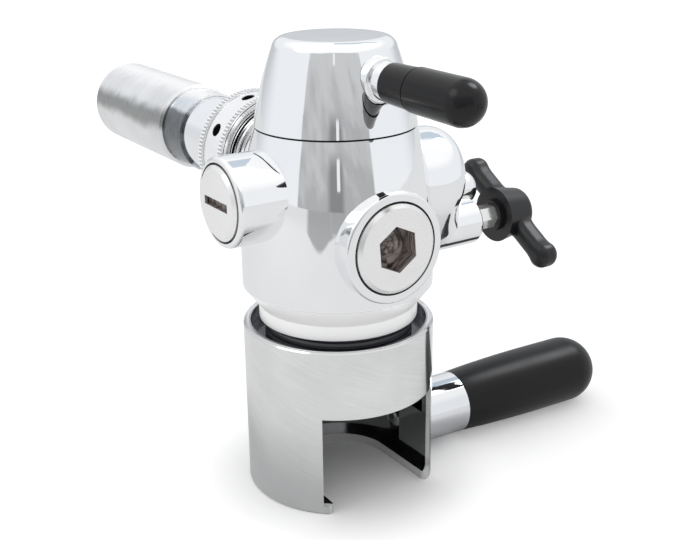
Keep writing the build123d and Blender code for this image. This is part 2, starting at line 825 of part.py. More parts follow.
# Bottle clamp: cup with its window and the slot that takes the bottle's neck
with BuildPart() as clamp_cup:
    with BuildSketch(Plane.XY):
        Circle(cup_radius)
    extrude(amount=cup_height)
    outer_rims = clamp_cup.edges().filter_by(GeomType.CIRCLE)
    chamfer(outer_rims, rim_chamfer)
    with BuildSketch(Plane.XY.offset(ring_bottom - face_gap)):
        Circle(rim_bore_radius)
    extrude(amount=cup_height, mode=Mode.SUBTRACT)
    with BuildSketch(Plane.XY.offset(pocket_top)):
        Circle(upper_bore_radius)
    extrude(amount=cup_height, mode=Mode.SUBTRACT)
    with BuildSketch(Plane.XY.offset(flange_thickness)):
        Circle(pocket_radius)
    extrude(amount=pocket_top, mode=Mode.SUBTRACT)
    with BuildSketch(Plane.XY.offset(flange_thickness)):
        with Locations((0, -cup_radius)):
            Rectangle(2 * window_half_width, 2 * cup_radius)
    extrude(amount=window_top - flange_thickness, mode=Mode.SUBTRACT)
    with BuildSketch(Plane.XY):
        Circle(slot_radius)
        with BuildLine():
            Polyline((-slot_radius, 0), (slot_radius, 0), (slot_mouth_half, -cup_radius),
                     (-slot_mouth_half, -cup_radius), close=True)
        make_face()
    extrude(amount=flange_thickness, mode=Mode.SUBTRACT)
    feet = clamp_cup.edges().filter_by(Axis.Z).filter_by_position(Axis.Z, 0, flange_thickness)
    fillet(feet.group_by(Axis.Y)[0], foot_round)
    with BuildSketch(across_handle(pocket_radius / 2)):
        Circle(stud_radius + slip)
    extrude(amount=cup_radius, mode=Mode.SUBTRACT)
keep(clamp_cup, "clamp_cup")

with BuildPart() as lift_ring:
    with BuildSketch(Plane.XY.offset(ring_bottom)):
        Circle(rim_bore_radius - running)
        Circle(thread_radius + running, mode=Mode.SUBTRACT)
    extrude(amount=lift_ring_height)
keep(lift_ring, "lift_ring")

# Clamp handle: stud through the cup's wall, bright ferrule and black grip
with BuildPart() as handle_stud:
    with BuildSketch(across_handle(stud_start)):
        Circle(stud_radius)
    extrude(amount=stud_end - stud_start)
    fillet(handle_stud.faces().sort_by(Axis.X)[0].edges(), stud_dome)
keep(handle_stud, "handle_stud")

with BuildPart() as handle_ferrule:
    section = outline(
        handle_plane,
        (pocket_radius, stud_radius + slip),
        (ferrule_end, stud_radius + slip),
        (ferrule_end, ferrule_end_radius),
        (pocket_radius, ferrule_radius),
    )
    revolve(section, axis=handle_axis)
    with BuildSketch(Plane.XY):
        Circle(cup_radius + slip)
    extrude(amount=cup_height, mode=Mode.SUBTRACT)
keep(handle_ferrule, "handle_ferrule")

with BuildPart() as handle_grip:
    with BuildSketch(handle_plane):
        with BuildLine():
            nose = RadiusArc((grip_end, 0), (grip_end - grip_radius, grip_radius), -grip_radius)
            belly = Line(nose @ 1, (grip_full_at, grip_radius))
            flank = TangentArc(belly @ 1, (ferrule_end, ferrule_end_radius), tangent=(-1, 0))
            Polyline(flank @ 1, (ferrule_end, 0), (grip_end, 0))
        make_face()
    revolve(axis=handle_axis)
    with BuildSketch(across_handle(ferrule_end)):
        Circle(stud_radius + slip)
    extrude(amount=stud_end - ferrule_end, mode=Mode.SUBTRACT)
keep(handle_grip, "handle_grip")
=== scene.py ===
"""Studio portrait of a bottle filling tap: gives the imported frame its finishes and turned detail."""
from __future__ import annotations

import logging
import math
from dataclasses import dataclass, field
from enum import Enum
from typing import Any, Mapping, Sequence

import bmesh
import bpy
from mathutils import Matrix, Vector


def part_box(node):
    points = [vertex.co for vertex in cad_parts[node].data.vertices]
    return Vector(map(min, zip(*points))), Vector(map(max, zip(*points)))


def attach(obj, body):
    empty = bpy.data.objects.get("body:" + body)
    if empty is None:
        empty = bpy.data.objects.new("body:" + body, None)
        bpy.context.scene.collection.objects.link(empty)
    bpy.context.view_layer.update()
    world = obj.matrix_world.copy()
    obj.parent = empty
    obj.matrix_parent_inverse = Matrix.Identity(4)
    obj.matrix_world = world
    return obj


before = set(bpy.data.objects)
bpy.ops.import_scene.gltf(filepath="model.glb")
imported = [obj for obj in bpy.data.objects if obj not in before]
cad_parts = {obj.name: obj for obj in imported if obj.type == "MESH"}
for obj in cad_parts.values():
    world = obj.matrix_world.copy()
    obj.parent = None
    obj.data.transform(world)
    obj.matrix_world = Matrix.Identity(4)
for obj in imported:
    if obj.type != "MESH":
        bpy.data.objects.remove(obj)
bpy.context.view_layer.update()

LOG = logging.getLogger("tap_portrait")
MM = 0.001
SHARP_ANGLE = math.radians(32)
CRISP = 0.1 * MM
RIDGE_STEPS = 72
RIDGE_FOOT = 0.85
RIDGE_TOP = (0.35, 0.5)

BMesh = bmesh.types.BMesh
Material = bpy.types.Material
Colour = tuple[float, float, float]
Span = tuple[float, float, float]
Pair = tuple[float, float]


class Along(Enum):
    """The three directions in which the tap's round parts lie."""

    UP = (0.0, 0.0, 1.0)
    BACK = (0.0, 1.0, 0.0)
    RIGHT = (1.0, 0.0, 0.0)

    @property
    def way(self) -> Vector:
        """Unit vector along the axis."""
        return Vector(self.value)

    def out(self) -> Vector:
        """Unit vector square to the axis, from which turned parts start."""
        return Vector((0, 1, 0)) if self is Along.UP else Vector((0, 0, 1))


class Signal:
    """Output socket of a node whose arithmetic adds Math nodes to the same tree."""

    def __init__(self, shader: Shader, socket: bpy.types.NodeSocket) -> None:
        """Wraps an output socket of a shader's tree."""
        self.shader = shader
        self.socket = socket

    def maths(self, operation: str, *operands: Operand) -> Signal:
        """Result of a Math node with these inputs, in order."""
        inputs = dict(enumerate(operands))
        return self.shader.signal("ShaderNodeMath", {"operation": operation}, inputs)

    def __add__(self, other: Operand) -> Signal:
        """Sum."""
        return self.maths("ADD", self, other)

    def __radd__(self, other: Operand) -> Signal:
        """Sum with the number first."""
        return self.maths("ADD", other, self)

    def __sub__(self, other: Operand) -> Signal:
        """Difference."""
        return self.maths("SUBTRACT", self, other)

    def __rsub__(self, other: Operand) -> Signal:
        """Difference with the number first."""
        return self.maths("SUBTRACT", other, self)

    def __mul__(self, other: Operand) -> Signal:
        """Product."""
        return self.maths("MULTIPLY", self, other)

    def __rmul__(self, other: Operand) -> Signal:
        """Product with the number first."""
        return self.maths("MULTIPLY", other, self)

    def __truediv__(self, other: Operand) -> Signal:
        """Quotient."""
        return self.maths("DIVIDE", self, other)

    def __rtruediv__(self, other: Operand) -> Signal:
        """Quotient with the number first."""
        return self.maths("DIVIDE", other, self)

    def above(self, level: float, softness: float) -> Signal:
        """Mask that rises from 0 to 1 across a level.

        Args:
            level: Where the mask is one half.
            softness: Width of the rise.

        Returns:
            The mask.
        """
        limits = {"From Min": level - softness / 2, "From Max": level + softness / 2}
        rise = {"interpolation_type": "SMOOTHSTEP"}
        return self.shader.signal("ShaderNodeMapRange", rise, {"Value": self, **limits}, "Result")

    def below(self, level: float, softness: float) -> Signal:
        """Mask that falls from 1 to 0 across a level, as above() turned over."""
        return 1 - self.above(level, softness)

    def within(self, low: float, high: float, softness: float) -> Signal:
        """Mask that is 1 between two levels."""
        return self.above(low, softness) * self.below(high, softness)

    def greater(self, other: Operand) -> Signal:
        """The greater of two numbers."""
        return self.maths("MAXIMUM", self, other)

    def between(self, low: float, high: float) -> Signal:
        """Number from low to high in step with this signal from 0 to 1."""
        return self * (high - low) + low


Operand = Signal | float | int | Vector | tuple | bpy.types.NodeSocket


class Shader:
    """Node tree of a material or the world, filled through one method."""

    def __init__(self, owner: Material | bpy.types.World) -> None:
        """Empties the owner's tree.

        Args:
            owner: The material or world to fill.
        """
        owner.use_nodes = True
        self.owner = owner
        self.tree = owner.node_tree
        self.tree.nodes.clear()

    def node(self, kind: str, settings: Mapping[str, Any] | None = None,
             inputs: Mapping[str | int, Operand] | None = None) -> bpy.types.Node:
        """Adds a node, sets it up and feeds its sockets.

        Args:
            kind: Blender's name for the node's type.
            settings: The node's own properties.
            inputs: Values or links by socket name or number.

        Returns:
            The new node.
        """
        made = self.tree.nodes.new(kind)
        for name, value in (settings or {}).items():
            setattr(made, name, value)
        for key, value in (inputs or {}).items():
            if isinstance(value, Signal):
                value = value.socket
            if isinstance(value, bpy.types.NodeSocket):
                self.tree.links.new(value, made.inputs[key])
            else:
                made.inputs[key].default_value = value
        return made

    def signal(self, kind: str, settings: Mapping[str, Any], inputs: Mapping[str | int, Operand],
               output: str | int = 0) -> Signal:
        """Adds a node as node() does and wraps one of its outputs."""
        return Signal(self, self.node(kind, settings, inputs).outputs[output])

    def place(self) -> Signal:
        """Object coordinates, which on every piece are metres in the tap's own frame."""
        return self.signal("ShaderNodeTexCoord", {}, {}, "Object")

    def axes(self, vector: Signal) -> tuple[Signal, Signal, Signal]:
        """Splits a vector into its x, y and z."""
        node = self.node("ShaderNodeSeparateXYZ", {}, {0: vector})
        return tuple(Signal(self, node.outputs[index]) for index in range(3))

    def vector(self, x: Operand, y: Operand, z: Operand) -> Signal:
        """Joins three numbers to a vector."""
        return self.signal("ShaderNodeCombineXYZ", {}, {0: x, 1: y, 2: z})

    def noise(self, vector: Operand, scale: float, detail: float = 2.0) -> Signal:
        """Noise from 0 to 1, by blobs per unit of the vector and octaves of finer noise."""
        inputs = {"Vector": vector, "Scale": scale, "Detail": detail}
        return self.signal("ShaderNodeTexNoise", {}, inputs)

    def blend(self, factor: Operand, first: Colour | Signal, second: Colour | Signal) -> Signal:
        """Colour between two colours: a factor of 0 gives the first, 1 the second."""
        start, end = ((*c, 1.0) if isinstance(c, tuple) else c for c in (first, second))
        return self.signal("ShaderNodeMix", {"data_type": "RGBA"}, {0: factor, 6: start, 7: end}, 2)

    def tint(self, signals: dict[str, Signal], mask: Signal, colour: Colour | Signal) -> None:
        """Lays a colour over the base colour where the mask is 1."""
        signals["Base Color"] = self.blend(mask, signals["Base Color"], colour)

    def relief(self, height: Signal, depth: float) -> Signal:
        """Normal that follows a height from 0 to 1, where 1 stands for the depth in metres."""
        inputs = {"Height": height, "Distance": depth, "Strength": 1.0}
        return self.signal("ShaderNodeBump", {}, inputs)

    def surface(self, fixed: Mapping[str, Any], varying: Mapping[str, Signal]) -> Material:
        """Ends the tree in a Principled shader.

        Args:
            fixed: Values that are the same all over, set on the shader's own sockets.
            varying: What changes over the surface.

        Returns:
            The finished material.
        """
        shader = self.node("ShaderNodeBsdfPrincipled", {}, {**fixed, **varying})
        self.node("ShaderNodeOutputMaterial", {}, {"Surface": shader.outputs[0]})
        return self.owner


@dataclass(frozen=True)
class Finish:
    """A surface finish that makes its own material."""

    name: str

    def shader(self) -> Shader:
        """Starts the finish's material."""
        return Shader(bpy.data.materials.new(self.name))

    def material(self) -> Material:
        """Builds the material."""
        raise NotImplementedError


@dataclass(frozen=True)
class MirrorPlate(Finish):
    """Bright plating on a hand-polished part: a clear mirror that waves a little."""

    colour: Colour = (0.94, 0.945, 0.95)
    shade: Colour = (0.89, 0.90, 0.915)
    wave_size: float = 13 * MM
    wave_depth: float = 0.05 * MM
    stroke_size: float = 2.6 * MM
    stroke_share: float = 0.012
    haze: Pair = (0.02, 0.06)
    haze_scale: float = 260.0
    tone_scale: float = 38.0

    def material(self) -> Material:
        """Mirror with polishing waves, faint haze and a slight drift of tone."""
        sh = self.shader()
        return sh.surface({"Metallic": 1.0}, self.plated(sh))

    def plated(self, sh: Shader) -> dict[str, Signal]:
        """Signals of the plated surface.

        Args:
            sh: The tree to add to.

        Returns:
            What feeds each socket that varies.
        """
        place = sh.place()
        strokes = sh.noise(place, 1 / self.stroke_size)
        waves = sh.noise(place, 1 / self.wave_size, 1.0) + strokes * self.stroke_share
        haze = sh.noise(place, self.haze_scale, 5.0)
        tone = sh.noise(place, self.tone_scale, 3.0)
        return {
            "Base Color": sh.blend(tone.above(0.5, 0.5), self.shade, self.colour),
            "Roughness": haze.above(0.52, 0.4).between(*self.haze),
            "Normal": sh.relief(waves, self.wave_depth),
        }


@dataclass(frozen=True)
class BodyPlate(MirrorPlate):
    """Plating of the valve body, silvery and softer on the cone under the barrel."""

    cone_top: float = 60.2 * MM
    cone_edge: float = 0.5 * MM
    cone_colour: Colour = (0.94, 0.94, 0.94)
    cone_haze: float = 0.3
    cone_metallic: float = 0.25

    def material(self) -> Material:
        """Mirror above, soft bright finish on the cone.

        Returns:
            The finished material.
        """
        sh = self.shader()
        signals = self.plated(sh)
        height = sh.axes(sh.place())[2]
        cone = height.below(self.cone_top, self.cone_edge)
        sh.tint(signals, cone, self.cone_colour)
        signals["Roughness"] = signals["Roughness"] + cone * self.cone_haze
        signals["Metallic"] = cone.between(1.0, self.cone_metallic)
        return sh.surface({}, signals)


@dataclass(frozen=True)
class TurnedSteel(Finish):
    """Stainless steel with fine marks of the lathe round an axis."""

    along: Along = Along.UP
    centre: Vector = field(default_factory=Vector)
    colour: Colour = (0.80, 0.80, 0.795)
    shade: Colour = (0.66, 0.66, 0.66)
    gloss: Pair = (0.16, 0.30)
    pitch: float = 0.22 * MM
    slant: float = 0.0
    mark_depth: float = 0.006 * MM
    marks_round: float = 1.5
    drift_scale: float = 90.0
    patch_scale: float = 55.0
    patch_share: float = 0.6
    metallic: float = 1.0

    def material(self) -> Material:
        """Steel whose marks run round the axis, or across it where they slant."""
        sh, _, signals = self.turned()
        return sh.surface({"Metallic": self.metallic}, signals)

    def places(self, sh: Shader) -> tuple[Signal, Signal, Signal]:
        """Coordinates on the round part.

        Args:
            sh: The tree to add to.

        Returns:
            The way round the part in radians from its seam at the back, and in metres the way along
            the axis and the distance from it.
        """
        x, y, z = sh.axes(sh.place())
        middle = self.centre
        across, ahead, axial = {
            Along.UP: (x - middle.x, middle.y - y, z),
            Along.BACK: (x - middle.x, z - middle.z, y),
            Along.RIGHT: (middle.y - y, z - middle.z, x),
        }[self.along]
        arc = across.maths("ARCTAN2", across, ahead)
        radial = across.maths("SQRT", across * across + ahead * ahead)
        return arc, axial, radial

    def turned(self) -> tuple[Shader, tuple[Signal, Signal, Signal], dict[str, Signal]]:
        """Starts the material with its turned surface.

        Returns:
            The tree, the places on the part, and what feeds each socket that varies.
        """
        sh = self.shader()
        arc, axial, radial = self.places(sh)
        run = axial + arc * self.slant
        drift = sh.noise(sh.place(), self.drift_scale, 3.0)
        marks = sh.noise(sh.vector(run / self.pitch, arc * self.marks_round, radial / self.pitch), 1.0)
        patch = sh.noise(sh.place(), self.patch_scale, 4.0)
        tone = patch * self.patch_share + marks * (1 - self.patch_share)
        return sh, (arc, axial, radial), {
            "Base Color": sh.blend(tone.above(0.5, 0.4), self.shade, self.colour),
            "Roughness": (marks * 0.5 + drift * 0.5).above(0.5, 0.5).between(*self.gloss),
            "Normal": sh.relief(marks, self.mark_depth),
        }


@dataclass(frozen=True)
class MachinedCup(TurnedSteel):
    """Steel of the bottle clamp: slanting hatch outside, painted shade on the turned wall inside, on
    the front of the rim's bevel and on the outer chamfer, pale cut faces.
    """

    wall: float = 25.5 * MM
    skin: float = 26.85 * MM
    cuts_top: float = 46.0 * MM
    flange: float = 2.65 * MM
    rim: Pair = (25.9 * MM, 48.6 * MM)
    rim_front: Pair = (-1.7, 0.5)
    rim_softness: float = 0.9
    hatch: float = 14.0
    hatch_run: float = 0.05
    hatch_share: float = 0.35
    edge: Pair = (26.3 * MM, 48.3 * MM)
    inside: Colour = (0.42, 0.425, 0.43)
    rim_painted_shade: Colour = (0.10, 0.105, 0.12)
    edge_painted_shade: Colour = (0.66, 0.66, 0.665)
    cut_colour: Colour = (0.95, 0.95, 0.95)
    flange_colour: Colour = (0.58, 0.58, 0.58)
    cut_metallic: float = 0.3

    def material(self) -> Material:
        """Steel cross-hatched by the wheel, with painted shade inside the wall over the flange, on the
        front of the rim's bevel and on the outer chamfer.

        Returns:
            The finished material.
        """
        sh, (arc, axial, radial), signals = self.turned()
        climb = axial / self.pitch
        across = sh.noise(sh.vector(climb + arc * self.hatch, climb * self.hatch_run, 0), 1.0)
        sh.tint(signals, across.above(0.5, 0.5) * self.hatch_share, self.shade)
        over_flange = axial.above(self.flange, CRISP)
        # Painted shade: the cup's inner wall above the flange is darkened where shade falls.
        sh.tint(signals, radial.below(self.wall, 2 * CRISP) * over_flange, self.inside)
        # Painted shade: the rim's inner bevel is darkened on its front only.
        bevel = radial.below(self.rim[0], CRISP) * axial.above(self.rim[1], CRISP)
        sh.tint(signals, bevel * arc.within(*self.rim_front, self.rim_softness), self.rim_painted_shade)
        # Painted shade: the outer chamfer is darkened to tone down its reflection of the bright roof.
        chamfer = radial.above(self.edge[0], 4 * CRISP) * axial.above(self.edge[1], 2 * CRISP)
        sh.tint(signals, chamfer, self.edge_painted_shade)
        cut = radial.within(self.wall, self.skin, CRISP) * axial.below(self.cuts_top, CRISP)
        cut = cut.greater(radial.below(self.skin, CRISP) * (1 - over_flange))
        sh.tint(signals, cut, sh.blend(over_flange, self.flange_colour, self.cut_colour))
        signals["Metallic"] = cut.between(self.metallic, self.cut_metallic)
        return sh.surface({}, signals)


@dataclass(frozen=True)
class PlugFace(TurnedSteel):
    """Face-turned steel plug whose drive recess is brown and rough from the cutter."""

    face: float = 0.0
    recess: float = 6.6 * MM
    colour: Colour = (0.86, 0.86, 0.855)
    shade: Colour = (0.81, 0.81, 0.805)
    metallic: float = 0.7
    brown: Colour = (0.42, 0.37, 0.345)
    rust: Colour = (0.055, 0.046, 0.043)
    broach_pitch: float = 0.55 * MM
    broach_round: float = 0.9
    broach_depth: float = 0.4
    sunk_haze: float = 0.25
    sunk_metallic: float = 0.3

    def material(self) -> Material:
        """Satin face, dark recess streaked by the broach.

        Returns:
            The finished material.
        """
        sh, (arc, axial, radial), signals = self.turned()
        sunk = axial.above(self.face, CRISP) * radial.below(self.recess, CRISP)
        climb, sink = axial / self.broach_pitch, radial / self.broach_pitch * self.broach_depth
        streaks = sh.noise(sh.vector(climb, arc * self.broach_round, sink), 1.0, 3.0)
        worn = sh.blend(streaks.above(0.5, 0.3), self.rust, self.brown)
        sh.tint(signals, sunk, worn)
        signals["Roughness"] = signals["Roughness"] + sunk * self.sunk_haze
        signals["Metallic"] = sunk.between(self.metallic, self.sunk_metallic)
        return sh.surface({}, signals)


@dataclass(frozen=True)
class ThreadedSteel(TurnedSteel):
    """Turned steel with a thread over a stretch of its length, darkened as painted shade in its
    grooves and, by a given share, all over the stretch.
    """

    thread: Pair = (0.0, 1.0)
    thread_pitch: float = 1.5 * MM
    run_out: float = 0.3 * MM
    groove_painted_shade: Colour = (0.05, 0.05, 0.055)
    groove_width: float = 0.45
    groove_depth: float = 0.3 * MM
    painted_shade_share: float = 0.0

    def material(self) -> Material:
        """Steel with helical grooves, darkened as painted shade.

        Returns:
            The finished material.
        """
        sh, (arc, axial, radial), signals = self.turned()
        turns = axial / self.thread_pitch + arc / math.tau
        phase = turns.maths("FRACT", turns) - 0.5
        flank = phase.maths("ABSOLUTE", phase) * 2
        stretch = axial.within(*self.thread, self.run_out)
        # Painted shade: the grooves are darkened, and the whole thread too by a share, where it lies
        # in shade.
        dark = flank.below(self.groove_width, 0.5).greater(self.painted_shade_share)
        sh.tint(signals, dark * stretch, self.groove_painted_shade)
        signals["Normal"] = sh.relief(flank * stretch, self.groove_depth)
        return sh.surface({"Metallic": self.metallic}, signals)


@dataclass(frozen=True)
class PaintedLightSteel(TurnedSteel):
    """Turned steel with a painted dark reflection of uneven edge and a painted highlight, by degrees
    round its axis.
    """

    painted_dark_reflection: Pair = (-90.0, -60.0)
    painted_dark_reflection_colour: Colour = (0.4, 0.4, 0.4)
    painted_dark_reflection_softness: float = 16.0
    painted_dark_reflection_share: float = 0.8
    painted_dark_reflection_streaks: float = 3.0
    wander: float = 10.0
    wander_scale: float = 110.0
    painted_highlight: Pair = (-26.0, 100.0)
    painted_highlight_colour: Colour = (0.96, 0.965, 0.97)
    painted_highlight_softness: float = 30.0
    painted_highlight_metallic: float = 0.3

    def material(self) -> Material:
        """Steel with a painted dark reflection and a painted highlight.

        Returns:
            The finished material.
        """
        sh, (arc, axial, radial), signals = self.turned()
        shift = sh.noise(sh.place(), self.wander_scale) * (2 * self.wander)
        edge = arc * math.degrees(1) + shift - self.wander
        # Painted reflection: a dark band over a span of degrees round the axis, streaked like the
        # turning marks.
        dark = edge.within(*self.painted_dark_reflection, self.painted_dark_reflection_softness)
        streaks = sh.noise(sh.vector(arc * self.painted_dark_reflection_streaks, axial / self.pitch, 0), 1.0)
        tone = sh.blend(streaks.above(0.5, 0.4), self.painted_dark_reflection_colour, signals["Base Color"])
        # Painted highlight: a pale, less metallic span of degrees round the axis.
        pale = edge.within(*self.painted_highlight, self.painted_highlight_softness)
        sh.tint(signals, pale, self.painted_highlight_colour)
        sh.tint(signals, dark, sh.blend(self.painted_dark_reflection_share, tone, self.painted_dark_reflection_colour))
        signals["Metallic"] = pale.between(self.metallic, self.painted_highlight_metallic)
        return sh.surface({}, signals)


@dataclass(frozen=True)
class DrilledSteel(TurnedSteel):
    """Turned steel whose spanner holes are darkened inside as painted shade."""

    holes: Pair = (38.0 * MM, 42.8 * MM)
    hole_depths: Pair = (15.95 * MM, 17.6 * MM)
    hole_painted_shade: Colour = (0.03, 0.03, 0.032)

    def material(self) -> Material:
        """Steel with holes darkened as painted shade.

        Returns:
            The finished material.
        """
        sh, (arc, axial, radial), signals = self.turned()
        # Painted shade: the walls inside the holes are darkened where shade falls.
        sunk = axial.within(*self.holes, CRISP) * radial.within(*self.hole_depths, CRISP)
        sh.tint(signals, sunk, self.hole_painted_shade)
        return sh.surface({"Metallic": self.metallic}, signals)


@dataclass(frozen=True)
class MouldedPlastic(Finish):
    """Black moulded plastic with a fine skin and a drift of gloss."""

    colour: Colour = (0.0035, 0.0035, 0.004)
    bloom: Colour = (0.007, 0.007, 0.008)
    gloss: Pair = (0.26, 0.36)
    grain_size: float = 0.5 * MM
    grain_depth: float = 0.004 * MM
    drift_scale: float = 70.0
    specular: float = 0.22

    def material(self) -> Material:
        """Plastic with a faint grain and slightly uneven gloss.

        Returns:
            The finished material.
        """
        sh = self.shader()
        place = sh.place()
        grain = sh.noise(place, 1 / self.grain_size)
        drift = sh.noise(place, self.drift_scale, 4.0)
        return sh.surface({"Specular IOR Level": self.specular}, {
            "Base Color": sh.blend(drift, self.colour, self.bloom),
            "Roughness": drift.above(0.5, 0.5).between(*self.gloss),
            "Normal": sh.relief(grain, self.grain_depth),
        })


@dataclass(frozen=True)
class CastBronze(Finish):
    """Machined bronze with darker pores."""

    colour: Colour = (0.62, 0.40, 0.17)
    pore: Colour = (0.30, 0.17, 0.07)
    pore_scale: float = 1400.0
    pore_depth: float = 0.01 * MM
    drift_scale: float = 160.0
    gloss: Pair = (0.25, 0.45)

    def material(self) -> Material:
        """Warm metal speckled with pores.

        Returns:
            The finished material.
        """
        sh = self.shader()
        pores = sh.noise(sh.place(), self.pore_scale, 3.0).above(0.62, 0.12)
        drift = sh.noise(sh.place(), self.drift_scale, 3.0)
        return sh.surface({"Metallic": 1.0}, {
            "Base Color": sh.blend(pores, self.colour, self.pore),
            "Roughness": drift.between(*self.gloss),
            "Normal": sh.relief(pores, self.pore_depth),
        })


@dataclass(frozen=True)
class LappedCeramic(Finish):
    """White valve ceramic, lapped flat and nearly matt."""

    colour: Colour = (0.82, 0.81, 0.78)
    speck: Colour = (0.70, 0.69, 0.66)
    speck_scale: float = 2200.0
    cloud_scale: float = 120.0
    gloss: Pair = (0.3, 0.42)

    def material(self) -> Material:
        """Off-white with faint specks.

        Returns:
            The finished material.
        """
        sh = self.shader()
        specks = sh.noise(sh.place(), self.speck_scale).above(0.6, 0.1)
        clouds = sh.noise(sh.place(), self.cloud_scale)
        return sh.surface({}, {
            "Base Color": sh.blend(specks, self.colour, self.speck),
            "Roughness": clouds.between(*self.gloss),
        })


def dress(node: str, material: Material) -> None:
    """Gives a node of the frame its finish.

    Args:
        node: The node's name.
        material: The finish.
    """
    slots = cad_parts[node].data.materials
    slots.clear()
    slots.append(material)
    LOG.info("dressed %s in %s", node, material.name)


def turned_ring(profile: Sequence[Pair], along: Along, centre: Vector, steps: int) -> BMesh:
    """Turns a closed profile once round an axis.

    Args:
        profile: Pairs of the place along the axis and the radius, in metres.
        along: The axis's direction.
        centre: A point on the axis.
        steps: Facets round the ring.

    Returns:
        The ring.
    """
    bm = bmesh.new()
    out = along.out()
    points = [bm.verts.new(centre + along.way * place + out * radius) for place, radius in profile]
    for first, second in zip(points, points[1:] + points[:1]):
        bm.edges.new((first, second))
    bmesh.ops.spin(
        bm, geom=bm.verts[:] + bm.edges[:], cent=centre, axis=along.way, angle=math.tau,
        steps=steps, use_merge=True,
    )
    bmesh.ops.remove_doubles(bm, verts=bm.verts[:], dist=MM / 1000)
    bmesh.ops.recalc_face_normals(bm, faces=bm.faces[:])
    return bm


def thread_ridge(
    root: float, crest: float, stretch: Pair, pitch: float, along: Along, centre: Vector
) -> BMesh:
    """Winds a triangular ridge along an axis.

    Args:
        root: Radius of the ridge's foot.
        crest: Radius of its edge.
        stretch: Where the thread starts and ends along the axis.
        pitch: How far one turn climbs.
        along: The axis's direction.
        centre: A point on the axis.

    Returns:
        The ridge, closed at both ends.
    """
    start, end = stretch
    turns = (end - start - pitch) / pitch
    steps = round(turns * RIDGE_STEPS)
    bm = bmesh.new()
    out = along.out()
    top_start, top_end = (start + pitch * share for share in RIDGE_TOP)
    profile = ((start, root), (start + pitch * RIDGE_FOOT, root), (top_end, crest), (top_start, crest))
    corners = [bm.verts.new(centre + along.way * place + out * radius) for place, radius in profile]
    face = bm.faces.new(corners)
    bmesh.ops.spin(
        bm, geom=[face, *face.verts, *face.edges], cent=centre, axis=along.way,
        dvec=along.way * pitch / RIDGE_STEPS, angle=math.tau * steps / RIDGE_STEPS, steps=steps,
    )
    bmesh.ops.recalc_face_normals(bm, faces=bm.faces[:])
    return bm


def finish_piece(bm: BMesh, name: str, body: str, material: Material) -> None:
    """Makes an object of a mesh and lets it ride on a body of the frame.

    Args:
        bm: The finished mesh, which is freed.
        name: The piece's name.
        body: The body that carries it.
        material: The piece's finish.
    """
    mesh = bpy.data.meshes.new(name)
    bm.to_mesh(mesh)
    bm.free()
    mesh.shade_smooth()
    mesh.set_sharp_from_angle(angle=SHARP_ANGLE)
    mesh.materials.append(material)
    piece = bpy.data.objects.new(name, mesh)
    bpy.context.scene.collection.objects.link(piece)
    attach(piece, body)
    LOG.info("built %s, %d faces, on %s", name, len(mesh.polygons), body)


@dataclass
class Finishes:
    """The materials that several sub-assemblies share."""

    plate: Material = field(default_factory=MirrorPlate("mirror_plate").material)
    rubber: Material = field(default_factory=MouldedPlastic(
        "seal_rubber", colour=(0.004, 0.004, 0.004), bloom=(0.008, 0.008, 0.008), gloss=(0.5, 0.65),
        specular=0.25,
    ).material)
    bronze: Material = field(default_factory=CastBronze("bronze").material)
    ceramic: Material = field(default_factory=LappedCeramic("lapped_ceramic").material)
    steel: Material = field(default_factory=TurnedSteel("turned_steel").material)


@dataclass
class ValveBody:
    """The casting with its plugs, their seals, the blind cap and the discs inside."""

    finishes: Finishes
    front_face: float = -28.75 * MM
    side_face: float = -36.65 * MM

    def build(self) -> None:
        """Dresses the casting and what closes its ports."""
        dress("valve_body", BodyPlate("body_plate").material())
        dress("blind_cap", self.finishes.plate)
        front = Vector((0, 0, self.middle("front_plug").z))
        side = Vector((0, 0, self.middle("side_plug").z))
        dress("front_plug", PlugFace("front_plug_steel", along=Along.BACK, centre=front,
                                     face=self.front_face).material())
        dress("side_plug", PlugFace("side_plug_steel", along=Along.RIGHT, centre=side,
                                    face=self.side_face).material())
        for seal in ("front_plug_seal", "side_plug_seal"):
            dress(seal, self.finishes.rubber)
        for disc in ("seat_disc", "rotor_disc"):
            dress(disc, self.finishes.ceramic)

    @staticmethod
    def middle(node: str) -> Vector:
        """Middle of a node's box."""
        low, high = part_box(node)
        return (low + high) / 2


@dataclass
class NeckScrew:
    """The neck that the bottle clamp climbs, with its seal and nozzle."""

    finishes: Finishes
    groove_pitch: float = 0.95 * MM
    groove_width: float = 0.16 * MM
    groove_depth: float = 0.05 * MM
    band_height: float = 4.0 * MM
    facets: int = 320

    def build(self) -> None:
        """Dresses the neck and adds the turned lines of its band."""
        # Painted shade: the neck's thread, which lies in shade inside the cup, is darkened nearly all
        # over.
        neck = ThreadedSteel("neck_steel", colour=(0.95, 0.95, 0.95), shade=(0.935, 0.935, 0.935),
                             gloss=(0.30, 0.36), mark_depth=0.0005 * MM, metallic=0.4,
                             thread=(30.0 * MM, 50.4 * MM), thread_pitch=2.0 * MM,
                             groove_painted_shade=(0.02, 0.023, 0.03), painted_shade_share=0.9).material()
        dress("neck_collar", neck)
        dress("spreader_nozzle", self.finishes.steel)
        dress("bottle_seal", self.finishes.rubber)
        finish_piece(self.band_lines(), "neck_band_lines", "tap_body", neck)

    def band_lines(self) -> BMesh:
        """Sleeve over the band with a row of fine turned grooves.

        Returns:
            The sleeve.
        """
        _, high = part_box("neck_collar")
        radius, top = high.x, high.z
        crest = radius + self.groove_depth
        lines = int(self.band_height / self.groove_pitch)
        start = top - lines * self.groove_pitch
        profile = [(top, radius - self.groove_depth), (start, radius - self.groove_depth)]
        for line in range(lines):
            place = start + line * self.groove_pitch
            profile += [(place + self.groove_width / 2, radius + self.groove_depth / 4),
                        (place + self.groove_width, crest), (place + self.groove_pitch, crest)]
        return turned_ring(profile, Along.UP, Vector(), self.facets)


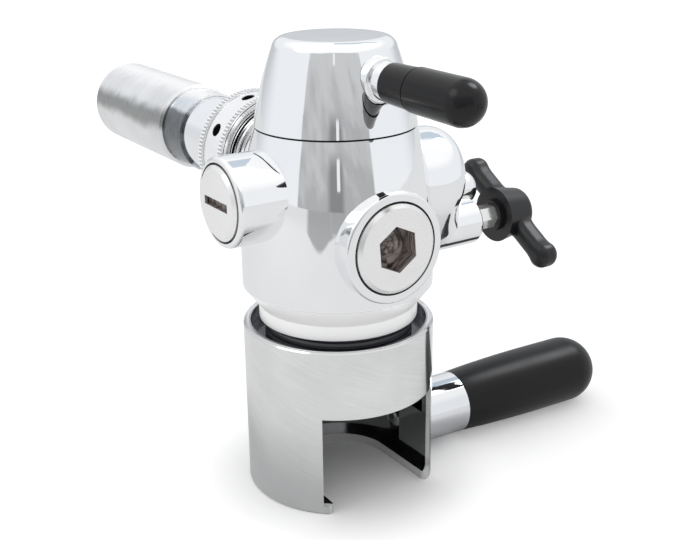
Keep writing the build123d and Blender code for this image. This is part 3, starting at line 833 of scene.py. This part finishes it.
@dataclass
class SupplyTube:
    """Nipple, coupling nut, tube and tail behind the body."""

    finishes: Finishes
    teeth: int = 100
    tooth_height: float = 0.26 * MM
    band_width: float = 2.8 * MM
    band_edge: float = 0.3 * MM
    thread_radii: Pair = (14.0 * MM, 15.25 * MM)
    thread_stretch: Pair = (28.75 * MM, 33.4 * MM)
    thread_pitch: float = 1.15 * MM

    def __post_init__(self) -> None:
        """Finds the tube's axis."""
        low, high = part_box("tail_tube")
        self.axis = Vector((0, 0, (low.z + high.z) / 2))

    def build(self) -> None:
        """Dresses the tube and adds the knurled bands and the nipple's thread."""
        # Painted shade: the nut's spanner holes are darkened inside, and the roots between the knurl's
        # teeth are greyed.
        nut = DrilledSteel("nut_steel", along=Along.BACK, centre=self.axis, colour=(0.95, 0.955, 0.96),
                           shade=(0.88, 0.885, 0.895), gloss=(0.14, 0.24), metallic=0.75).material()
        knurl = DrilledSteel("knurl_steel", along=Along.BACK, centre=self.axis,
                             colour=(0.97, 0.97, 0.975), shade=(0.92, 0.92, 0.925), metallic=0.6,
                             holes=(0.0, 1.0), hole_depths=(17.8 * MM, 18.3 * MM),
                             hole_painted_shade=(0.45, 0.46, 0.47)).material()
        dress("coupling_nut", nut)
        dress("inlet_tube", self.finishes.plate)
        dress("inlet_gasket", self.finishes.rubber)
        dress("nut_washer", self.finishes.steel)
        nipple = ThreadedSteel("nipple_steel", along=Along.BACK, centre=self.axis, gloss=(0.12, 0.2),
                               thread=(29.4 * MM, 41.0 * MM), thread_pitch=self.thread_pitch,
                               groove_painted_shade=(0.012, 0.012, 0.014)).material()
        dress("inlet_nipple", nipple)
        # Painted reflection: a dark patch on one flank of the sleeve's steel, and a painted highlight
        # along its top.
        sleeve = PaintedLightSteel("sleeve_painted_reflection", along=Along.BACK, centre=self.axis,
                             colour=(0.78, 0.81, 0.85), shade=(0.62, 0.66, 0.71), gloss=(0.18, 0.28),
                             painted_dark_reflection=(-136.0, -50.0), painted_dark_reflection_colour=(0.105, 0.115, 0.12), painted_dark_reflection_softness=7.0,
                             wander=7.0).material()
        dress("tube_sleeve", sleeve)
        # Painted reflection: a dark band along one flank of the tail, and a painted highlight along
        # its top.
        tail = PaintedLightSteel("tail_steel", along=Along.BACK, centre=self.axis,
                           colour=(0.86, 0.865, 0.87), shade=(0.70, 0.705, 0.715), gloss=(0.18, 0.30),
                           pitch=0.35 * MM, mark_depth=0.008 * MM, painted_dark_reflection=(-88.0, -62.0),
                           painted_dark_reflection_colour=(0.29, 0.295, 0.29)).material()
        dress("tail_tube", tail)
        low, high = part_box("coupling_nut")
        for name, start in (("near", low.y), ("far", high.y - self.band_width)):
            band = self.knurled_band(start, (high.z - low.z) / 2)
            finish_piece(band, f"nut_knurl_{name}", "nut", knurl)
        ridge = thread_ridge(
            *self.thread_radii, self.thread_stretch, self.thread_pitch, Along.BACK, self.axis
        )
        finish_piece(ridge, "nipple_thread", "tap_body", nipple)

    def knurled_band(self, start: float, radius: float) -> BMesh:
        """Ring with straight teeth that stands on one end of the nut.

        Args:
            start: Where the band starts along the tube.
            radius: Outer radius of the nut.

        Returns:
            The band.
        """
        end = start + self.band_width
        corners = 4 * self.teeth
        foot, edge = radius - 2 * self.tooth_height, self.band_edge
        bm = turned_ring(
            [(start, foot), (start, radius - edge), (start + edge, radius), (end - edge, radius),
             (end, radius - edge), (end, foot)],
            Along.BACK, self.axis, corners,
        )
        for vert in bm.verts:
            arm = Vector((vert.co.x, 0, vert.co.z - self.axis.z))
            quarter = round(math.atan2(arm.x, arm.z) / math.tau * corners) % 4
            if arm.length > radius - edge / 2 and quarter in (1, 2):
                vert.co += arm.normalized() * self.tooth_height
        return bm


@dataclass
class VentValve:
    """Vent stem, its gland and the wing knob."""

    finishes: Finishes

    def build(self) -> None:
        """Dresses the vent valve."""
        knob = MouldedPlastic("knob_black", colour=(0.006, 0.0063, 0.0075),
                              bloom=(0.010, 0.0104, 0.0122), gloss=(0.28, 0.38),
                              grain_depth=0.008 * MM, specular=0.42)
        dress("wing_knob", knob.material())
        stem = TurnedSteel("stem_steel", along=Along.RIGHT, centre=ValveBody.middle("vent_stem"),
                           colour=(0.90, 0.90, 0.89), shade=(0.85, 0.85, 0.84), gloss=(0.14, 0.2),
                           pitch=0.18 * MM, mark_depth=0.0004 * MM, metallic=0.8)
        dress("vent_stem", stem.material())
        dress("vent_gland", self.finishes.bronze)
        dress("vent_seal", self.finishes.rubber)
        dress("vent_tip", self.finishes.ceramic)


@dataclass
class TurningHead:
    """Dome head with its lever, spindle and seals."""

    finishes: Finishes
    lever_reach: float = 53.4 * MM
    lever_turn: float = math.radians(6.0)
    lever_droop: float = math.radians(3.1)
    lever_height: float = 119.4 * MM
    lever_shade_ring: float = 32.4 * MM
    facets: int = 64
    shade_ring_profile: tuple[Pair, ...] = (
        (-0.48 * MM, 5.3 * MM), (-0.48 * MM, 5.56 * MM), (-0.38 * MM, 5.68 * MM),
        (0.02 * MM, 5.72 * MM), (0.02 * MM, 5.3 * MM),
    )
    nub_profile: tuple[Pair, ...] = (
        (-0.2 * MM, 0.40 * MM), (0.06 * MM, 0.45 * MM), (0.10 * MM, 0.58 * MM),
        (0.06 * MM, 0.71 * MM), (-0.2 * MM, 0.76 * MM),
    )

    def __post_init__(self) -> None:
        """Finds the lever's direction and where its axis crosses the head's."""
        level = math.cos(self.lever_droop)
        self.way = Vector((math.sin(self.lever_turn) * level, -math.cos(self.lever_turn) * level,
                           -math.sin(self.lever_droop)))
        self.pivot = Vector((0, 0, self.lever_height))

    def build(self) -> None:
        """Dresses the head and adds the lever's moulding nub and a matt black ring of painted shade at
        the step of its grip.
        """
        dress("dome_head", MirrorPlate("dome_plate", wave_size=16 * MM).material())
        dress("lever_collar", self.finishes.plate)
        lever = MouldedPlastic("lever_black", gloss=(0.14, 0.20), specular=0.30).material()
        for node in ("lever_base", "lever_grip"):
            dress(node, lever)
        # Painted shade: a matt black ring stands in for the shadow at the step between the lever's
        # base and grip.
        matt = MouldedPlastic("lever_step_painted_shade", colour=(0.001, 0.001, 0.001), bloom=(0.002, 0.002, 0.002),
                              gloss=(0.6, 0.7), specular=0.05).material()
        nub = self.lever_ring(self.nub_profile, self.lever_reach)
        finish_piece(nub, "lever_nub", "head", lever)
        shade_ring = self.lever_ring(self.shade_ring_profile, self.lever_shade_ring)
        finish_piece(shade_ring, "lever_shade_ring", "head", matt)
        dress("lever_rod", self.finishes.steel)
        for node in ("head_washer", "spindle_seal"):
            dress(node, self.finishes.rubber)
        for node in ("head_spindle", "spindle_gland"):
            dress(node, self.finishes.bronze)

    def lever_ring(self, profile: Sequence[Pair], reach: float) -> BMesh:
        """Ring round the lever's axis, such as the mark that the moulding's gate leaves on its tip.

        Args:
            profile: Pairs of the place along the lever and the radius, in metres.
            reach: How far along the lever the profile starts.

        Returns:
            The ring.
        """
        bm = turned_ring(profile, Along.UP, Vector(), self.facets)
        place = Matrix.Translation(self.pivot + self.way * reach)
        turn = self.way.to_track_quat("Z", "Y").to_matrix().to_4x4()
        bmesh.ops.transform(bm, matrix=place @ turn, verts=bm.verts)
        return bm


@dataclass
class BottleClamp:
    """Cup, lift ring and handle."""

    finishes: Finishes
    lip_radii: Pair = (25.98 * MM, 26.6 * MM)
    lip_rise: float = 0.16 * MM
    facets: int = 240

    def build(self) -> None:
        """Dresses the clamp."""
        cup = MachinedCup("cup_steel", colour=(0.88, 0.88, 0.875), shade=(0.74, 0.74, 0.74),
                          gloss=(0.06, 0.14), pitch=0.3 * MM, slant=0.012).material()
        dress("clamp_cup", cup)
        finish_piece(self.rim_lip(), "rim_lip", "clamp", cup)
        ring = TurnedSteel("ring_dark", colour=(0.075, 0.08, 0.095), shade=(0.012, 0.013, 0.016),
                           gloss=(0.1, 0.2))
        dress("lift_ring", ring.material())
        dress("handle_stud", self.finishes.steel)
        dress("handle_ferrule", MirrorPlate("ferrule_plate", colour=(0.84, 0.85, 0.87),
                                            shade=(0.76, 0.77, 0.79)).material())
        grip = MouldedPlastic("grip_black", gloss=(0.29, 0.37), grain_size=0.7 * MM, specular=0.25)
        dress("handle_grip", grip.material())

    def rim_lip(self) -> BMesh:
        """Low turned lip on the cup's rim, between the outer chamfer and the bore.

        Returns:
            The lip.
        """
        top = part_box("clamp_cup")[1].z
        inner, outer = self.lip_radii
        rise = self.lip_rise
        profile = [(top - rise, inner), (top + rise / 2, inner), (top + rise, inner + rise / 2),
                   (top + rise, outer - rise), (top + rise / 2, outer), (top - rise, outer)]
        return turned_ring(profile, Along.UP, Vector(), self.facets)


@dataclass(frozen=True)
class Patch:
    """Stretch of the tent by bearing in degrees and by height, each as low, high and softness."""

    bearing: Span
    height: Span

    def mask(self, bearing: Signal, height: Signal) -> Signal:
        """Mask of the stretch."""
        return bearing.within(*self.bearing) * height.within(*self.height)


@dataclass
class Studio:
    """Pale floor, light tent, a soft lamp and the camera. An edge's pair is its level and softness."""

    camera_place: Vector = field(default_factory=lambda: Vector((-0.15585, -0.24304, 0.16652)))
    heading: float = math.radians(33.36)
    pitch: float = math.radians(19.81)
    roll: float = math.radians(-0.61)
    lens: float = 56.11
    sensor: float = 36.0
    gap: Span = (-47.0, 47.0, 2.0)
    gap_top: Pair = (0.62, 0.06)
    gap_curve: float = 0.00007
    gap_colour: Colour = (0.60, 0.61, 0.615)
    fold_scale: Span = (0.06, 3.0, 4.0)
    fold_lift: float = 0.8
    fold_edge: Pair = (0.68, 0.35)
    fold_colour: Colour = (0.45, 0.455, 0.46)
    figure: Patch = Patch((-9.0, 9.0, 8.0), (-0.12, 0.24, 0.14))
    figure_colour: Colour = (0.26, 0.265, 0.27)
    streak: Patch = Patch((0.6, 4.4, 0.8), (0.075, 0.235, 0.02))
    high_streak: Patch = Patch((-3.0, 0.6, 0.8), (0.47, 0.54, 0.02))
    wall_colour: Colour = (0.90, 0.915, 0.94)
    roof_edge: Pair = (0.58, 0.3)
    roof_colour: Colour = (1.08, 1.08, 1.08)
    far_edge: Pair = (0.55, 0.9)
    far_top: Pair = (0.17, 0.2)
    far_colour: Colour = (0.55, 0.57, 0.60)
    flag_edge: Pair = (128.0, 5.0)
    flag_height: Span = (0.67, 0.875, 0.06)
    flag_colour: Colour = (0.60, 0.68, 0.76)
    softboxes: tuple[tuple[Colour, float, float], ...] = (
        ((-0.68, 0.16, 0.72), 17.0, 1.2), ((0.60, -0.03, 0.80), 13.0, 5.0),
    )
    softbox_edge: float = 0.03
    diffuse_level: float = 0.95
    sheet_half: float = 3.0
    sheet_colour: Colour = (0.93, 0.93, 0.93)
    mirrored_sheet: Colour = (0.56, 0.565, 0.57)
    sheet_glow: float = 0.24
    glow_rise: Pair = (1.0, 0.7)
    glow_start: float = 0.036
    mirrored_start: float = 0.06
    dim_sheet: Colour = (0.42, 0.425, 0.43)
    dim_reach: float = 0.36
    near_span: Span = (-34.0, -5.0, 5.0)
    near_curve: float = 0.0012
    near_softness: float = 0.06
    far_span: Span = (-8.0, 12.0, 6.0)
    far_share: float = 1.7
    far_softness: float = 0.15
    key_place: Span = (-0.62, 0.10, 0.62)
    key_size: Pair = (0.42, 0.55)
    key_glow: float = 1.1
    key_aim: float = 0.08

    def __post_init__(self) -> None:
        """Finds the level directions from the tap to the camera and square to that."""
        self.toward = Vector((self.camera_place.x, self.camera_place.y, 0)).normalized()
        self.side = Vector((-self.toward.y, self.toward.x, 0))

    def build_camera(self) -> None:
        """Sets the camera at the portrait's viewpoint."""
        data = bpy.data.cameras.new("portrait_camera")
        data.sensor_fit = "HORIZONTAL"
        data.sensor_width = self.sensor
        data.lens = self.lens
        data.clip_start = 0.01
        data.clip_end = 20.0
        ahead = Vector((
            math.sin(self.heading) * math.cos(self.pitch),
            math.cos(self.heading) * math.cos(self.pitch),
            -math.sin(self.pitch),
        ))
        level = Vector((math.cos(self.heading), -math.sin(self.heading), 0))
        rise = level.cross(ahead)
        right = level * math.cos(self.roll) + rise * math.sin(self.roll)
        up = rise * math.cos(self.roll) - level * math.sin(self.roll)
        turn = Matrix((right, up, -ahead)).transposed()
        camera = bpy.data.objects.new("portrait_camera", data)
        camera.matrix_world = Matrix.Translation(self.camera_place) @ turn.to_4x4()
        bpy.context.scene.collection.objects.link(camera)
        bpy.context.scene.camera = camera

    def bearing(self, x: Signal, y: Signal) -> Signal:
        """Level angle from the camera's side of the tap.

        Args:
            x: Level distance or direction along X.
            y: The same along Y.

        Returns:
            Degrees, 0 towards the camera and growing towards the picture's right.
        """
        across = x * self.side.x + y * self.side.y
        ahead = x * self.toward.x + y * self.toward.y
        return across.maths("ARCTAN2", across, ahead) * math.degrees(1)

    @staticmethod
    def rays(sh: Shader) -> tuple[Signal, Signal]:
        """Tells rays apart.

        Args:
            sh: The tree to add to.

        Returns:
            Masks of the rays that come from the camera and of those from mirrors or glass.
        """
        path = sh.node("ShaderNodeLightPath")
        seen, glossy, through = (
            Signal(sh, path.outputs[name])
            for name in ("Is Camera Ray", "Is Glossy Ray", "Is Transmission Ray")
        )
        return seen, glossy.greater(through)

    def tent(self, sh: Shader, x: Signal, y: Signal, z: Signal) -> Signal:
        """What mirrors see over the floor.

        Args:
            sh: The tree to add to.
            x: The direction's part along X.
            y: Its part along Y.
            z: Its part along Z.

        Returns:
            White walls and roof, a dim gap with folds and a dark figure on the camera's side, a dim
            far side and a blue-grey flag high over it.
        """
        bearing = self.bearing(x, y)
        away = x * -self.toward.x + y * -self.toward.y
        far = away.above(*self.far_edge) * z.below(*self.far_top)
        wall = sh.blend(far, self.wall_colour, self.far_colour)
        roof = sh.blend(z.above(*self.roof_edge), wall, self.roof_colour)
        across, slope, climb = self.fold_scale
        folds = sh.noise(sh.vector(bearing * across + z * slope, z * climb, 0.0), 1.0, 3.0)
        folds = (folds + z * self.fold_lift).above(*self.fold_edge)
        cloth = sh.blend(folds, self.fold_colour, self.gap_colour)
        cloth = sh.blend(self.figure.mask(bearing, z), cloth, self.figure_colour)
        streaks = self.streak.mask(bearing, z).greater(self.high_streak.mask(bearing, z))
        cloth = sh.blend(streaks, cloth, self.wall_colour)
        gap = bearing.within(*self.gap) * (z + bearing * bearing * self.gap_curve).below(*self.gap_top)
        flag = bearing.above(*self.flag_edge) * z.within(*self.flag_height)
        return sh.blend(gap, sh.blend(flag, roof, self.flag_colour), cloth)

    def build_world(self) -> None:
        """White surround with one dim gap on the camera's side, as a light tent has."""
        world = bpy.data.worlds.new("light_tent")
        bpy.context.scene.world = world
        sh = Shader(world)
        x, y, z = sh.axes(sh.signal("ShaderNodeTexCoord", {}, {}, "Generated"))
        seen, mirrored = self.rays(sh)
        colour = sh.blend(mirrored, (1.0, 1.0, 1.0), self.tent(sh, x, y, z))
        either = seen + mirrored
        lit = either.maths("MINIMUM", either, 1.0)
        strength = lit.between(self.diffuse_level, 1.0)
        for aim, half, glow in self.softboxes:
            way = Vector(aim).normalized()
            towards = x * way.x + y * way.y + z * way.z
            box = towards.above(math.cos(math.radians(half)), self.softbox_edge)
            strength = strength + box * mirrored * glow
        background = sh.node("ShaderNodeBackground", {}, {"Color": colour, "Strength": strength})
        sh.node("ShaderNodeOutputWorld", {}, {"Surface": background.outputs[0]})

    def build_floor(self) -> None:
        """White sheet under the tap that ends in front of the camera, where mirrors see it dim."""
        bm = bmesh.new()
        bmesh.ops.create_grid(bm, x_segments=1, y_segments=1, size=self.sheet_half)
        mesh = bpy.data.meshes.new("floor")
        bm.to_mesh(mesh)
        bm.free()
        floor = bpy.data.objects.new("floor", mesh)
        bpy.context.scene.collection.objects.link(floor)
        sh = Shader(bpy.data.materials.new("white_sheet"))
        x, y, _ = sh.axes(sh.place())
        _, mirrored = self.rays(sh)
        bearing = self.bearing(x, y)
        reach = x.maths("SQRT", x * x + y * y)
        off = bearing - (self.near_span[0] + self.near_span[1]) / 2
        bowed = reach - off * off * self.near_curve
        near = bearing.within(*self.near_span) * bowed.above(self.dim_reach, self.near_softness)
        beyond = reach.above(self.dim_reach * self.far_share, self.far_softness)
        far = bearing.within(*self.far_span) * beyond
        dim = near.greater(far) * mirrored
        sheet = sh.blend(mirrored, self.sheet_colour, self.mirrored_sheet)
        # Painted light: the sheet glows beyond a reach from the tap's axis, so round the foot it stays
        # darker as a painted shade.
        start = mirrored.between(self.glow_start, self.mirrored_start)
        glow = (reach / start).above(*self.glow_rise) * (1 - dim) * self.sheet_glow
        sh.surface({"Roughness": 0.9, "Specular IOR Level": 0.0, "Emission Strength": 1.0}, {
            "Base Color": sh.blend(dim, sheet, self.dim_sheet),
            "Emission Color": sh.vector(glow, glow, glow),
        })
        mesh.materials.append(sh.owner)

    def build_lamp(self, name: str, place: Vector, size: Pair, glow: float) -> None:
        """Adds a softbox that faces the tap.

        Args:
            name: The lamp's name.
            place: Where its middle is.
            size: Its width and height.
            glow: Its radiance.
        """
        data = bpy.data.lights.new(name, "AREA")
        data.shape = "RECTANGLE"
        data.size, data.size_y = size
        data.energy = glow * math.pi * size[0] * size[1]
        lamp = bpy.data.objects.new(name, data)
        lamp.location = place
        inward = Vector((0, 0, self.key_aim)) - place
        lamp.rotation_euler = inward.to_track_quat("-Z", "Y").to_euler()
        lamp.visible_glossy = False
        bpy.context.scene.collection.objects.link(lamp)

    def build(self) -> None:
        """Builds the whole studio."""
        bpy.context.scene.view_settings.view_transform = "Standard"
        self.build_camera()
        self.build_world()
        self.build_floor()
        self.build_lamp("key", Vector(self.key_place), self.key_size, self.key_glow)


def main() -> None:
    """Builds and dresses every sub-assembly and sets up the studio."""
    logging.basicConfig(level=logging.INFO)
    finishes = Finishes()
    for assembly in (ValveBody, NeckScrew, SupplyTube, VentValve, TurningHead, BottleClamp):
        assembly(finishes).build()
    Studio().build()


if __name__ == "__main__":
    main()
